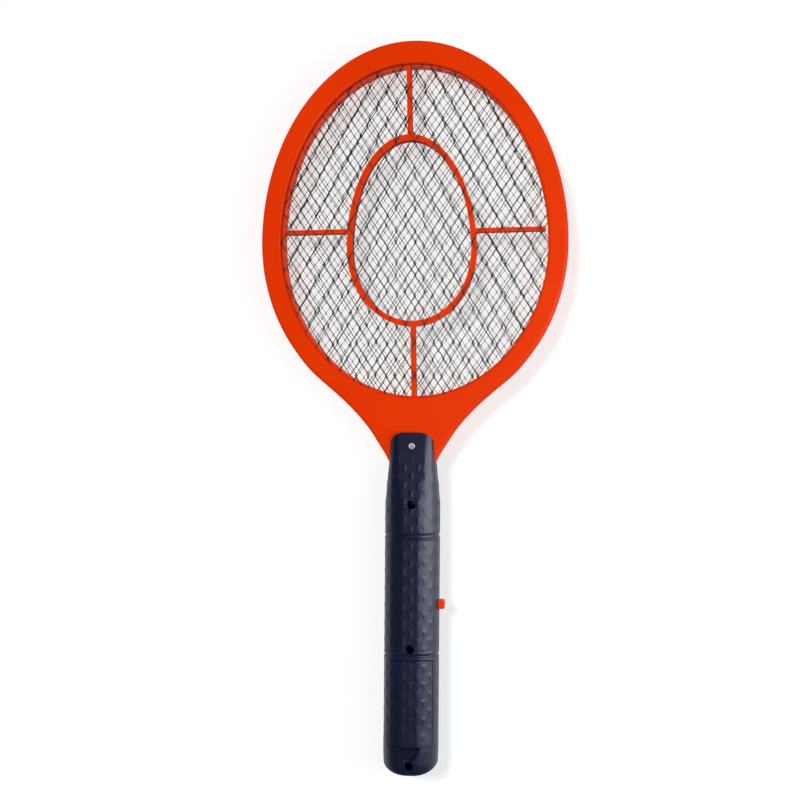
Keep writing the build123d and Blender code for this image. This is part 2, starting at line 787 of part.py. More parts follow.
def contact_bridge():
    """Rear contact that joins the two cells."""
    plate = contact_plate(-cell_x - 4.0, cell_x + 4.0, bulkhead_back_y, 1)
    bump = rod((cell_x, bulkhead_back_y + 0.2, cell_z), (cell_x, back_tip_y, cell_z), 1.8)
    return plate + bump + coil_spring(-cell_x, bulkhead_back_y + contact_thickness - 0.1, 1)


def battery_lead(side):
    """Wire from a front contact, past the screw boss, down to the board."""
    x = side * cell_x
    tab_z = bulkhead_top_z + 0.6 + lead_radius
    return wire([(x, -147.6, tab_z), (x, -143.0, tab_z), (x + side * 0.6, -139.0, 19.0),
                 (x + side * 0.8, -136.4, 13.2), (x + side * 0.8, -133.6, board_top_z + lead_radius)],
                lead_radius, [3.0, 3.0, 1.5])


# ---------------------------------------------------------------- head leads

def crimp(x, z):
    """Little sleeve that holds a lead on a mesh tab."""
    sleeve = rod((x, tab_end_y + 0.4, z), (x, tab_end_y + 4.4, z), 1.0)
    return (sleeve - rod((x, tab_end_y, z), (x, tab_end_y + 5, z), lead_radius + 0.02)).solid()


crimp_heights = {
    "middle": mid_z + fine_sheet / 2 + 1.0,
    "upper": mid_z + coarse_low - 1.0,
    "lower": mid_z - coarse_low + 1.0,
}


def mesh_crimps():
    """One crimp sleeve on each mesh tab."""
    return Compound([crimp(-lead_x, crimp_heights["middle"]), crimp(lead_x, crimp_heights["upper"]),
                     crimp(lead_x, crimp_heights["lower"])])


def head_lead(x, z, board_x, board_y):
    """Wire from a mesh tab through the neck to the board."""
    end_z = board_top_z + lead_radius
    return wire([(x, tab_end_y + 4.2, z), (x, -36, z), (x, -54, (z + mid_z) / 2),
                 (board_x, board_y + 5, end_z + 1.0), (board_x, board_y, end_z)],
                lead_radius, [8.0, 6.0, 4.0])


# ---------------------------------------------------------------- everything

coarse_upper_z = mid_z + coarse_low
coarse_lower_z = mid_z - coarse_low - coarse_sheet

separator_top = separator()

nodes = {
    "frame_upper": frame_upper(),
    "frame_lower": frame_lower(),
    "separator_upper": separator_top,
    "separator_lower": mirrored(separator_top),
    "mesh_upper": coarse_mesh(coarse_upper_z),
    "mesh_middle": middle_mesh(),
    "mesh_lower": coarse_mesh(coarse_lower_z),
    "mesh_crimps": mesh_crimps(),
    "lead_middle_mesh": head_lead(-lead_x, crimp_heights["middle"], -lead_x, -68.0),
    "lead_upper_mesh": head_lead(lead_x, crimp_heights["upper"], lead_x, -68.0),
    "lead_lower_mesh": head_lead(lead_x, crimp_heights["lower"], lead_x + 1.5, -69.5),
    "handle_upper": handle_upper(),
    "handle_lower": handle_lower(),
    "tongue_screw": handle_screw(tongue_screw_y, tongue_seat_z, tongue_screw_length),
    "handle_screws": deep_screw_set(),
    "battery_door": battery_door(),
    "push_button": push_button(),
    "switch_body": switch_body(),
    "switch_plunger": switch_plunger(),
    "circuit_board": circuit_board(),
    "board_screws": board_screw_set(),
    "transformer_core": transformer_core(),
    "transformer_bobbin": transformer_bobbin(),
    "transformer_winding": transformer_winding(),
    "storage_capacitor": storage_capacitor(),
    "doubler_capacitors": doubler_capacitors(),
    "diodes": diodes(),
    "resistors": resistors(),
    "transistor": transistor(),
    "indicator_led": indicator_led(),
    "battery_left": battery(-cell_x, front_tip_y, 1),
    "battery_right": battery(cell_x, back_tip_y, -1),
    "contact_positive": contact_positive(),
    "contact_negative": contact_negative(),
    "contact_bridge": contact_bridge(),
    "battery_lead_positive": battery_lead(-1),
    "battery_lead_negative": battery_lead(1),
}

for name, shape in nodes.items():
    export_step(shape, f"parts/{name}.step")
    box = shape.bounding_box()
    print(name, len(shape.solids()), round(shape.volume, 1), box.min, box.max)
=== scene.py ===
import bpy, math
import numpy as np
from mathutils import Matrix, Vector


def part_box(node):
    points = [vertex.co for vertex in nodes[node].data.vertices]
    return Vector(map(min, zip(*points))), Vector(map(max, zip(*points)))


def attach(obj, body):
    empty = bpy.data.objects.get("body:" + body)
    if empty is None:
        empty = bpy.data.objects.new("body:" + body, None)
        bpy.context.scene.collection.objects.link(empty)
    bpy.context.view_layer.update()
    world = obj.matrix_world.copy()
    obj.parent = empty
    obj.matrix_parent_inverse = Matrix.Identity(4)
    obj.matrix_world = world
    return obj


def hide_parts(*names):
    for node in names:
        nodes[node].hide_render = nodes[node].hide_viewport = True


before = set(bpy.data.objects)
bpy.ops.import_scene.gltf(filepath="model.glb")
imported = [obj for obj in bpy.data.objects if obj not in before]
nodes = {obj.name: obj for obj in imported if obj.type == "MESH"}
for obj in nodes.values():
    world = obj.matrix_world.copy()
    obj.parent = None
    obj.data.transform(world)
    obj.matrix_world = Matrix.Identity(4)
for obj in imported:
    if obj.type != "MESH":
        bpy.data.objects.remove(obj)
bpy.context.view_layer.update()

mm = 0.001
midZ = 15.0                                   # height of the joint between the two halves, mm


# puts arrays of points (metres) and faces into a new object; a triangle among quads ends in -1
def putMesh(name, points, faces, material, body, replaced=(), smooth=False):
    mesh = bpy.data.meshes.new(name)
    mesh.from_pydata(points.tolist(), [], [[i for i in f if i >= 0] for f in faces.tolist()])
    mesh.update()
    mesh.polygons.foreach_set("use_smooth", [smooth] * len(mesh.polygons))
    mesh.materials.append(material)
    obj = bpy.data.objects.new(name, mesh)
    bpy.context.scene.collection.objects.link(obj)
    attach(obj, body)
    if replaced:
        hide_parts(*replaced)
    return obj


# faces of a grid of rows x cols points that wraps along its columns, and along its rows with closedRows
def gridFaces(rows, cols, closedRows=False):
    last = rows if closedRows else rows - 1
    r = np.arange(last)[:, None]
    c = np.arange(cols)[None, :]
    r2 = (r + 1) % rows
    c2 = (c + 1) % cols
    quads = np.stack([r * cols + c, r * cols + c2, r2 * cols + c2, r2 * cols + c], axis=-1)
    return quads.reshape(-1, 4)


# tube of quads through rings of points (rings x corners x 3), closed by a flat fan at both ends
def ringTube(rings):
    count, corners, _ = rings.shape
    faces = gridFaces(count, corners)
    points = np.concatenate([rings.reshape(-1, 3), rings[:1].mean(1), rings[-1:].mean(1)])
    k = np.arange(corners)
    k2 = (k + 1) % corners
    none = np.full(corners, -1)
    startCap = np.stack([k2, k, np.full(corners, count * corners), none], 1)
    base = (count - 1) * corners
    endCap = np.stack([base + k, base + k2, np.full(corners, count * corners + 1), none], 1)
    return points, np.concatenate([faces, startCap, endCap])


# several point and face arrays as one
def joinParts(parts):
    points, faces, offset = [], [], 0
    for p, f in parts:
        points.append(p)
        faces.append(np.where(f >= 0, f + offset, -1))
        offset += len(p)
    return np.concatenate(points), np.concatenate(faces)


# starts a node material and hands back its tree, shader and coordinate node
def newMaterial(name):
    mat = bpy.data.materials.new(name)
    mat.use_nodes = True
    tree = mat.node_tree
    shader = tree.nodes["Principled BSDF"]
    coords = tree.nodes.new("ShaderNodeTexCoord")
    return mat, tree, shader, coords


# noise of so many features per metre on object coordinates
def addNoise(tree, coords, scale, detail=4.0, rough=0.5):
    noise = tree.nodes.new("ShaderNodeTexNoise")
    noise.inputs["Scale"].default_value = scale
    noise.inputs["Detail"].default_value = detail
    noise.inputs["Roughness"].default_value = rough
    tree.links.new(coords.outputs["Object"], noise.inputs["Vector"])
    return noise


# colour ramp from a list of (place, colour)
def addRamp(tree, source, stops):
    ramp = tree.nodes.new("ShaderNodeValToRGB")
    ramp.color_ramp.elements[0].position = stops[0][0]
    ramp.color_ramp.elements[0].color = (*stops[0][1], 1)
    ramp.color_ramp.elements[1].position = stops[-1][0]
    ramp.color_ramp.elements[1].color = (*stops[-1][1], 1)
    for place, colour in stops[1:-1]:
        element = ramp.color_ramp.elements.new(place)
        element.color = (*colour, 1)
    tree.links.new(source, ramp.inputs["Fac"])
    return ramp


# value between low and high, as the source goes from fromLow to fromHigh
def addRange(tree, source, low, high, fromLow=0.3, fromHigh=0.7):
    node = tree.nodes.new("ShaderNodeMapRange")
    node.inputs["From Min"].default_value = fromLow
    node.inputs["From Max"].default_value = fromHigh
    node.inputs["To Min"].default_value = low
    node.inputs["To Max"].default_value = high
    tree.links.new(source, node.inputs["Value"])
    return node


# bump of a height in metres, on top of an earlier bump where one is given
def addBump(tree, shader, source, distance, before=None):
    bump = tree.nodes.new("ShaderNodeBump")
    bump.inputs["Distance"].default_value = distance
    tree.links.new(source, bump.inputs["Height"])
    if before is not None:
        tree.links.new(before.outputs["Normal"], bump.inputs["Normal"])
    tree.links.new(bump.outputs["Normal"], shader.inputs["Normal"])
    return bump


toneSpan = (0.3, 0.7)                         # noise values where a material is fully dark and fully light
scuffSpan = (0.60, 0.78)                      # noise values where a scuff starts and is full


# moulded plastic: colour drifting between two tones, fine orange-peel bump, patchy roughness, faint scuffs
def mouldedPlastic(name, look):
    mat, tree, shader, coords = newMaterial(name)
    cloud = addNoise(tree, coords, look["cloudScale"], 3)
    tone = addRamp(tree, cloud.outputs["Fac"], [(toneSpan[0], look["dark"]), (toneSpan[1], look["light"])])
    scuff = addNoise(tree, coords, look["scuffScale"], 8, 0.7)
    scuffMask = addRamp(tree, scuff.outputs["Fac"], [(scuffSpan[0], (0, 0, 0)), (scuffSpan[1], (1, 1, 1))])
    mix = tree.nodes.new("ShaderNodeMixRGB")
    mix.inputs["Color2"].default_value = (*look["scuffColour"], 1)
    tree.links.new(tone.outputs["Color"], mix.inputs["Color1"])
    scaled = tree.nodes.new("ShaderNodeMath")
    scaled.operation = "MULTIPLY"
    scaled.inputs[1].default_value = look["scuffAmount"]
    tree.links.new(scuffMask.outputs["Color"], scaled.inputs[0])
    tree.links.new(scaled.outputs["Value"], mix.inputs["Fac"])
    tree.links.new(mix.outputs["Color"], shader.inputs["Base Color"])
    rough = addRange(tree, scuff.outputs["Fac"], look["roughLow"], look["roughHigh"])
    tree.links.new(rough.outputs["Result"], shader.inputs["Roughness"])
    peel = addNoise(tree, coords, look["peelScale"], 2)
    first = addBump(tree, shader, peel.outputs["Fac"], look["peelDepth"])
    grain = addNoise(tree, coords, look["grainScale"], 2)
    addBump(tree, shader, grain.outputs["Fac"], look["grainDepth"], before=first)
    shader.inputs["IOR"].default_value = look["ior"]
    shader.inputs["Specular IOR Level"].default_value = look["specular"]
    return mat


orangeLook = {
    "dark": (0.80, 0.036, 0.0004), "light": (0.86, 0.043, 0.0006), "cloudScale": 14.0,
    "scuffScale": 260.0, "scuffColour": (0.80, 0.07, 0.01), "scuffAmount": 0.25,
    "roughLow": 0.34, "roughHigh": 0.46, "peelScale": 900.0, "peelDepth": 0.00002,
    "grainScale": 5200.0, "grainDepth": 0.000006, "ior": 1.5, "specular": 0.06,
}
navyLook = {
    "dark": (0.0022, 0.0034, 0.020), "light": (0.0036, 0.0052, 0.028), "cloudScale": 22.0,
    "scuffScale": 420.0, "scuffColour": (0.03, 0.033, 0.06), "scuffAmount": 0.3,
    "roughLow": 0.34, "roughHigh": 0.47, "peelScale": 1100.0, "peelDepth": 0.00002,
    "grainScale": 6000.0, "grainDepth": 0.000008, "ior": 1.5, "specular": 0.42,
}
blackLook = dict(navyLook, dark=(0.012, 0.012, 0.012), light=(0.02, 0.02, 0.02))
whiteLook = dict(orangeLook, dark=(0.60, 0.60, 0.56), light=(0.70, 0.70, 0.67),
                 scuffColour=(0.5, 0.5, 0.45))
tapeLook = dict(orangeLook, dark=(0.55, 0.36, 0.03), light=(0.66, 0.46, 0.05),
                scuffColour=(0.4, 0.25, 0.02))
epoxyLook = dict(orangeLook, dark=(0.22, 0.02, 0.012), light=(0.30, 0.03, 0.018),
                 roughLow=0.12, roughHigh=0.25)
discLook = dict(orangeLook, dark=(0.02, 0.07, 0.30), light=(0.03, 0.10, 0.38),
                scuffColour=(0.1, 0.2, 0.5))
tanLook = dict(orangeLook, dark=(0.40, 0.27, 0.13), light=(0.50, 0.35, 0.18),
               scuffColour=(0.3, 0.2, 0.1))
redWireLook = dict(orangeLook, dark=(0.42, 0.012, 0.01), light=(0.5, 0.018, 0.014),
                   scuffColour=(0.3, 0.02, 0.02))
lampLook = dict(orangeLook, dark=(0.45, 0.01, 0.008), light=(0.6, 0.02, 0.014),
                roughLow=0.08, roughHigh=0.16)


# bare metal: tone drifting with noise, fine scratches along Y and patchy roughness
def bareMetal(name, look):
    mat, tree, shader, coords = newMaterial(name)
    shader.inputs["Metallic"].default_value = look["metallic"]
    cloud = addNoise(tree, coords, look["cloudScale"], 5)
    tone = addRamp(tree, cloud.outputs["Fac"], [(toneSpan[0], look["dark"]), (toneSpan[1], look["light"])])
    tree.links.new(tone.outputs["Color"], shader.inputs["Base Color"])
    stretch = tree.nodes.new("ShaderNodeMapping")
    stretch.inputs["Scale"].default_value = (1.0, look["lineStretch"], 1.0)
    tree.links.new(coords.outputs["Object"], stretch.inputs["Vector"])
    lines = tree.nodes.new("ShaderNodeTexNoise")
    lines.inputs["Scale"].default_value = look["lineScale"]
    lines.inputs["Detail"].default_value = 3
    tree.links.new(stretch.outputs["Vector"], lines.inputs["Vector"])
    rough = addRange(tree, lines.outputs["Fac"], look["roughLow"], look["roughHigh"])
    tree.links.new(rough.outputs["Result"], shader.inputs["Roughness"])
    addBump(tree, shader, lines.outputs["Fac"], look["lineDepth"])
    return mat


meshSteelLook = {
    "dark": (0.012, 0.012, 0.011), "light": (0.034, 0.034, 0.031), "cloudScale": 300.0,
    "lineScale": 5000.0, "lineStretch": 0.08, "lineDepth": 0.000006,
    "roughLow": 0.46, "roughHigh": 0.66, "metallic": 0.25,
}
screwLook = dict(meshSteelLook, dark=(0.72, 0.72, 0.73), light=(0.88, 0.88, 0.89), metallic=0.6,
                 roughLow=0.18, roughHigh=0.34)
# screws deep in the handle's wells: their near-black colour is painted shade of the wells, on top of the
# real shade the deep wells cast
wellShadeScrewLook = dict(screwLook, dark=(0.05, 0.05, 0.055), light=(0.09, 0.09, 0.095))
nickelLook = dict(screwLook, dark=(0.55, 0.54, 0.50), light=(0.68, 0.66, 0.62))
brassLook = dict(screwLook, dark=(0.50, 0.34, 0.12), light=(0.62, 0.44, 0.18))
ferriteLook = dict(meshSteelLook, dark=(0.018, 0.018, 0.02), light=(0.03, 0.03, 0.033), metallic=0.0,
                   roughLow=0.6, roughHigh=0.8, lineScale=3000.0)


board = {
    "dark": (0.26, 0.16, 0.05), "light": (0.34, 0.21, 0.07), "pad": (0.62, 0.45, 0.25),
    "pitch": 394.0, "padEdge": (0.26, 0.30),  # cells per metre (2.54 mm raster); where a pad ends
    "speckScale": 900.0, "roughLow": 0.4, "roughHigh": 0.6, "speckDepth": 0.00002,
}


# printed board: tan laminate with speckles of noise and round copper pads, one in each cell of a raster
def boardMaterial():
    look = board
    mat, tree, shader, coords = newMaterial("boardLaminate")
    cloud = addNoise(tree, coords, look["speckScale"], 6, 0.7)
    tone = addRamp(tree, cloud.outputs["Fac"], [(0.35, look["dark"]), (0.65, look["light"])])
    raster = tree.nodes.new("ShaderNodeTexVoronoi")
    raster.inputs["Scale"].default_value = look["pitch"]
    raster.inputs["Randomness"].default_value = 0.0
    tree.links.new(coords.outputs["Object"], raster.inputs["Vector"])
    padInside, padOutside = look["padEdge"]
    pads = addRamp(tree, raster.outputs["Distance"], [(padInside, (1, 1, 1)), (padOutside, (0, 0, 0))])
    mix = tree.nodes.new("ShaderNodeMixRGB")
    mix.inputs["Color2"].default_value = (*look["pad"], 1)
    tree.links.new(tone.outputs["Color"], mix.inputs["Color1"])
    tree.links.new(pads.outputs["Color"], mix.inputs["Fac"])
    tree.links.new(mix.outputs["Color"], shader.inputs["Base Color"])
    rough = addRange(tree, cloud.outputs["Fac"], look["roughLow"], look["roughHigh"])
    tree.links.new(rough.outputs["Result"], shader.inputs["Roughness"])
    addBump(tree, shader, cloud.outputs["Fac"], look["speckDepth"])
    return mat


sleeve = {
    "body": (0.03, 0.10, 0.16), "band": (0.42, 0.44, 0.45), "line": (0.7, 0.7, 0.68),
    "span": 20.0, "lineHalf": 0.3, "lineSoft": 0.1,   # mm: reach of the colour ramp, half line, soft edge
    "cloudScale": 500.0, "roughLow": 0.16, "roughHigh": 0.3, "depth": 0.00001, "coat": 0.5,
}


# cell sleeve: two bands of plain colour along Y, which meet at splitY (mm) with a thin light line between,
# under a clear gloss
def cellMaterial(name, splitY):
    look = sleeve
    mat, tree, shader, coords = newMaterial(name)
    split = tree.nodes.new("ShaderNodeSeparateXYZ")
    tree.links.new(coords.outputs["Object"], split.inputs["Vector"])
    reach = look["span"] / 2
    place = addRange(tree, split.outputs["Y"], 0.0, 1.0, (splitY - reach) * mm, (splitY + reach) * mm)
    core = look["lineHalf"] / look["span"]
    edge = (look["lineHalf"] + look["lineSoft"]) / look["span"]
    bands = addRamp(tree, place.outputs["Result"], [(0.5 - edge, look["body"]), (0.5 - core, look["line"]),
                                                    (0.5 + core, look["line"]), (0.5 + edge, look["band"])])
    tree.links.new(bands.outputs["Color"], shader.inputs["Base Color"])
    cloud = addNoise(tree, coords, look["cloudScale"], 6, 0.6)
    rough = addRange(tree, cloud.outputs["Fac"], look["roughLow"], look["roughHigh"])
    tree.links.new(rough.outputs["Result"], shader.inputs["Roughness"])
    addBump(tree, shader, cloud.outputs["Fac"], look["depth"])
    shader.inputs["Coat Weight"].default_value = look["coat"]
    return mat


orangePlastic = mouldedPlastic("orangePlastic", orangeLook)
navyPlastic = mouldedPlastic("navyPlastic", navyLook)
blackPlastic = mouldedPlastic("blackPlastic", blackLook)
whitePlastic = mouldedPlastic("whitePlastic", whiteLook)
windingTape = mouldedPlastic("windingTape", tapeLook)
redEpoxy = mouldedPlastic("redEpoxy", epoxyLook)
blueDisc = mouldedPlastic("blueDisc", discLook)
tanCeramic = mouldedPlastic("tanCeramic", tanLook)
redWire = mouldedPlastic("redWire", redWireLook)
blackWire = mouldedPlastic("blackWire", blackLook)
lampPlastic = mouldedPlastic("lampPlastic", lampLook)
meshSteel = bareMetal("meshSteel", meshSteelLook)
screwSteel = bareMetal("screwSteel", screwLook)
# steel for the deep handle screws, darkened with painted well shade
wellShadeSteel = bareMetal("wellShadeSteel", wellShadeScrewLook)
contactNickel = bareMetal("contactNickel", nickelLook)
crimpBrass = bareMetal("crimpBrass", brassLook)
ferrite = bareMetal("ferrite", ferriteLook)
boardLaminate = boardMaterial()
print("materials made")


# material of each CAD node that keeps its shape
finishes = {
    "frame_upper": orangePlastic, "frame_lower": orangePlastic, "separator_upper": orangePlastic,
    "separator_lower": orangePlastic, "push_button": orangePlastic, "mesh_crimps": crimpBrass,
    "lead_middle_mesh": redWire, "lead_upper_mesh": blackWire, "lead_lower_mesh": blackWire,
    "tongue_screw": screwSteel, "handle_screws": wellShadeSteel, "board_screws": screwSteel,
    "switch_body": blackPlastic, "switch_plunger": whitePlastic, "circuit_board": boardLaminate,
    "transformer_core": ferrite, "transformer_bobbin": blackPlastic, "transformer_winding": windingTape,
    "storage_capacitor": redEpoxy, "doubler_capacitors": blueDisc, "diodes": blackPlastic,
    "resistors": tanCeramic, "transistor": blackPlastic, "indicator_led": lampPlastic,
    "contact_positive": contactNickel, "contact_negative": contactNickel, "contact_bridge": contactNickel,
    "battery_lead_positive": redWire, "battery_lead_negative": blackWire,
}
for nodeName, finish in finishes.items():
    nodes[nodeName].data.materials.clear()
    nodes[nodeName].data.materials.append(finish)
print("CAD nodes finished")


# grip relief, in mm: stations are (y, width, depth, corner radius) of the handle's own section
grip = {
    "stations": [(-15.2, 25.2, 23.6, 4.6), (-24.0, 26.4, 25.6, 5.6), (-33.0, 28.2, 27.2, 7.2),
                 (-38.0, 29.3, 27.8, 8.2), (-45.0, 30.8, 28.6, 9.8), (-51.0, 31.9, 29.2, 11.4),
                 (-57.0, 32.9, 29.6, 12.6), (-57.3, 33.2, 30.0, 13.0), (-205.0, 33.2, 30.0, 13.0)],
    "startY": -26.5, "endY": -201.0,          # where the pattern begins and ends
    "rowPitch": 10.4, "columns": 24,          # rows along the grip, columns round it
    "columnWidth": 4.4, "perimeter": 106.0,   # roughly: one column's width, and the way round the section
    "height": 0.28, "sink": 0.31,             # pyramids stand on a ground that is sunk into the handle
    "clear": 0.03, "outerClear": 2.0,         # cutter's gap where it cuts nothing, and its outer side's
    "endFade": 9.0, "seamFade": 0.5,          # the pattern dies away at its ends and beside the joint lines
    "rowsPerPitch": 18, "stepsPerColumn": 8,
    "grooves": (-76.9, -148.5), "grooveFade": 1.6, "grooveBlend": 0.7,
    "bevelReach": 1.7, "bevelDepth": 0.6, "bevelRows": 4, "rowGap": 0.15,
    "triangle": ((-2.1, 2.9), (2.1, 2.9), (0.0, -3.9)), "peak": (0.0, 0.9), "sharpAngle": 14.0,
}


# rounded rectangle at each y, as points at equal arc steps, pushed outwards by outset; t goes 0..1
# anticlockwise from the right joint line. Nine stretches follow each other: straight, corner and so on.
def gripSection(y, t, outset):
    table = np.array(grip["stations"])[::-1]
    width, depth, corner = (np.interp(y, table[:, 0], table[:, k]) for k in (1, 2, 3))
    a = (width / 2 - corner)[:, None]
    b = (depth / 2 - corner)[:, None]
    r = corner[:, None]
    quarter = math.pi / 2 * r
    lengths = np.concatenate([b, quarter, 2 * a, quarter, 2 * b, quarter, 2 * a, quarter, b], 1)
    ends = np.cumsum(lengths, 1)
    s = t[None, :] * ends[:, -1:]
    starts = ends - lengths
    zero = np.zeros_like(s)
    x, z, nx, nz = zero.copy(), zero.copy(), zero.copy(), zero.copy()
    # start x, start z, direction x, direction z of the straight stretches
    straight = {0: (a + r, 0 * b, 0, 1), 2: (a, b + r, -1, 0), 4: (-a - r, b, 0, -1),
                6: (-a, -b - r, 1, 0), 8: (a + r, -b, 0, 1)}
    centres = {1: (a, b, 0), 3: (-a, b, 1), 5: (-a, -b, 2), 7: (a, -b, 3)}
    for k in range(9):
        here = (s >= starts[:, k:k + 1]) & ((s < ends[:, k:k + 1]) | (k == 8))
        along = s - starts[:, k:k + 1]
        if k in straight:
            sx, sz, dx, dz = straight[k]
            x = np.where(here, sx + dx * along, x)
            z = np.where(here, sz + dz * along, z)
            nx = np.where(here, dz + zero, nx)
            nz = np.where(here, -dx + zero, nz)
        else:
            cx, cz, turn = centres[k]
            angle = turn * math.pi / 2 + along / r
            x = np.where(here, cx + r * np.cos(angle), x)
            z = np.where(here, cz + r * np.sin(angle), z)
            nx = np.where(here, np.cos(angle), nx)
            nz = np.where(here, np.sin(angle), nz)
    yy = np.repeat(y[:, None], t.shape[0], 1)
    return np.stack([x + nx * outset, yy, midZ + z + nz * outset], -1)


# height of three-sided pyramids on a staggered raster; u counts columns, v is y in mm. Each side falls
# evenly from the peak to its edge, and the lowest of the three is the height.
def pyramidHeight(u, v):
    pitch = grip["rowPitch"]
    column = np.round(u)
    du = (u - column) * grip["columnWidth"]
    shift = np.where(column.astype(int) % 2 == 0, 0.0, 0.5)
    dv = (v / pitch + shift + 0.5) % 1.0 - 0.5
    dv = dv * pitch
    best = np.full_like(du, np.inf)
    corners = grip["triangle"]
    px, py = grip["peak"]
    for k in range(3):
        (ax, ay), (bx, by) = corners[k], corners[(k + 1) % 3]
        ex, ey = bx - ax, by - ay
        size = math.hypot(ex, ey)
        inner = ((px - ax) * ey - (py - ay) * ex) / size
        here = ((du - ax) * ey - (dv - ay) * ex) / size
        best = np.minimum(best, here / inner)
    return np.clip(best, 0, 1) * grip["height"]


# ring-shaped cutter round the grip: its inside is the patterned surface, its outside stands clear of it.
# Beside each groove its rows lie closer, and it sinks evenly towards the groove, which leaves a bevel.
def reliefCutter():
    columns = grip["columns"] * grip["stepsPerColumn"]
    rows = int((grip["startY"] - grip["endY"]) / grip["rowPitch"] * grip["rowsPerPitch"])
    y = np.linspace(grip["startY"], grip["endY"], rows)
    share = np.arange(1, grip["bevelRows"] + 1) / grip["bevelRows"]
    nearby = np.concatenate([-share, share]) * grip["bevelReach"]
    away = np.min([np.abs(y - gy) for gy in grip["grooves"]], 0)
    evenRows = y[away > grip["bevelReach"] + grip["rowGap"]]
    y = np.concatenate([evenRows] + [gy + nearby for gy in grip["grooves"]])
    y = -np.sort(-y)
    t = np.arange(columns) / columns
    u = np.repeat((t * grip["columns"])[None, :], len(y), 0)
    v = np.repeat(y[:, None], columns, 1)
    depth = pyramidHeight(u, v) - grip["sink"]
    plain = grip["clear"]
    edge = np.minimum(np.abs(y - grip["startY"]), np.abs(y - grip["endY"])) / grip["endFade"]
    for gy in grip["grooves"]:
        edge = np.minimum(edge, np.maximum(np.abs(y - gy) - grip["grooveFade"], 0) / grip["grooveBlend"])
    mask = np.clip(edge, 0, 1)[:, None] * np.ones_like(u)
    seam = np.minimum(np.minimum(t, 1 - t), np.abs(t - 0.5)) * grip["perimeter"]
    mask = mask * np.clip(seam / grip["seamFade"] - 1, 0, 1)[None, :]
    push = plain + (depth - plain) * mask
    toGroove = np.min([np.abs(y - gy) for gy in grip["grooves"]], 0)[:, None]
    push -= grip["bevelDepth"] * np.clip(1 - toGroove / grip["bevelReach"], 0, 1)
    inner = gripSection(y, t, push)
    outerY = np.array([s[0] for s in grip["stations"][::-1] if grip["endY"] < s[0] < grip["startY"]])
    outerY = np.concatenate([[grip["endY"]], outerY, [grip["startY"]]])
    outer = gripSection(outerY, t, grip["outerClear"])
    points = np.concatenate([inner, outer]) * mm
    faces = gridFaces(len(points), columns, closedRows=True)
    mesh = bpy.data.meshes.new("reliefCutter")
    mesh.from_pydata(points.reshape(-1, 3).tolist(), [], faces[:, ::-1].tolist())
    mesh.update()
    cutter = bpy.data.objects.new("reliefCutter", mesh)
    bpy.context.scene.collection.objects.link(cutter)
    return cutter


# copy of a CAD node, merged, with the cutter taken out of it
def patterned(nodeName, newName, body, cutter):
    source = nodes[nodeName]
    mesh = source.data.copy()
    copy = bpy.data.objects.new(newName, mesh)
    bpy.context.scene.collection.objects.link(copy)
    weld = copy.modifiers.new("weld", "WELD")
    weld.merge_threshold = 0.000002
    cut = copy.modifiers.new("cut", "BOOLEAN")
    cut.operation = "DIFFERENCE"
    cut.solver = "EXACT"
    cut.object = cutter
    evaluated = copy.evaluated_get(bpy.context.evaluated_depsgraph_get())
    result = bpy.data.meshes.new_from_object(evaluated)
    copy.modifiers.clear()
    copy.data = result
    result.polygons.foreach_set("use_smooth", [True] * len(result.polygons))
    result.set_sharp_from_angle(angle=math.radians(grip["sharpAngle"]))
    result.materials.clear()
    result.materials.append(navyPlastic)
    result.polygons.foreach_set("material_index", [0] * len(result.polygons))
    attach(copy, body)
    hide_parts(nodeName)
    print("patterned", newName, len(result.polygons), "faces")
    return copy


cutter = reliefCutter()
patterned("handle_upper", "gripDoorSide", "handle", cutter)
patterned("handle_lower", "gripFrontSide", "handle", cutter)
patterned("battery_door", "doorLid", "door", cutter)
bpy.data.objects.remove(cutter)
print("grip patterned")


eggY = 98.9                                   # height of the egg's widest line, mm
# all in mm: cells are 2 x halfWidth by 2 x halfHeight; egg is the reach sideways, up and down
coarse = {
    "halfWidth": 5.8, "halfHeight": 10.0, "bondHalf": 0.95, "side": 0.24, "lift": 0.13,
    "strandWidth": 0.56, "bondWidth": 0.74, "strandThick": 0.32, "egg": (84.4, 110.9, 97.0),
}
coarseBack = dict(coarse, halfWidth=5.55, halfHeight=9.8)     # smaller cells, out of step with the upper
fine = {
    "halfWidth": 2.35, "halfHeight": 3.25, "bondHalf": 0.35, "side": 0.16, "lift": 0.05,
    "strandWidth": 0.34, "bondWidth": 0.50, "strandThick": 0.20, "egg": (84.2, 110.7, 96.8),
}
strand = {
    "keep": 0.6, "cutShare": 0.5,             # parts of a column: clear of the egg's side; where it is cut
    "shoulder": 0.35, "endGap": 0.05,         # part of the bond; least distance from a cut end, mm
}
# slow waves of a whole sheet: wavelengths / 2 pi in mm, and each wave's turn and part of the warp
drift = {
    "long": 31.0, "longTurn": 0.11, "short": 13.0, "shortTurn": 0.7, "shortPart": 0.5,
    "across": 23.0, "acrossTurn": 1.3, "acrossPart": 0.8,
}


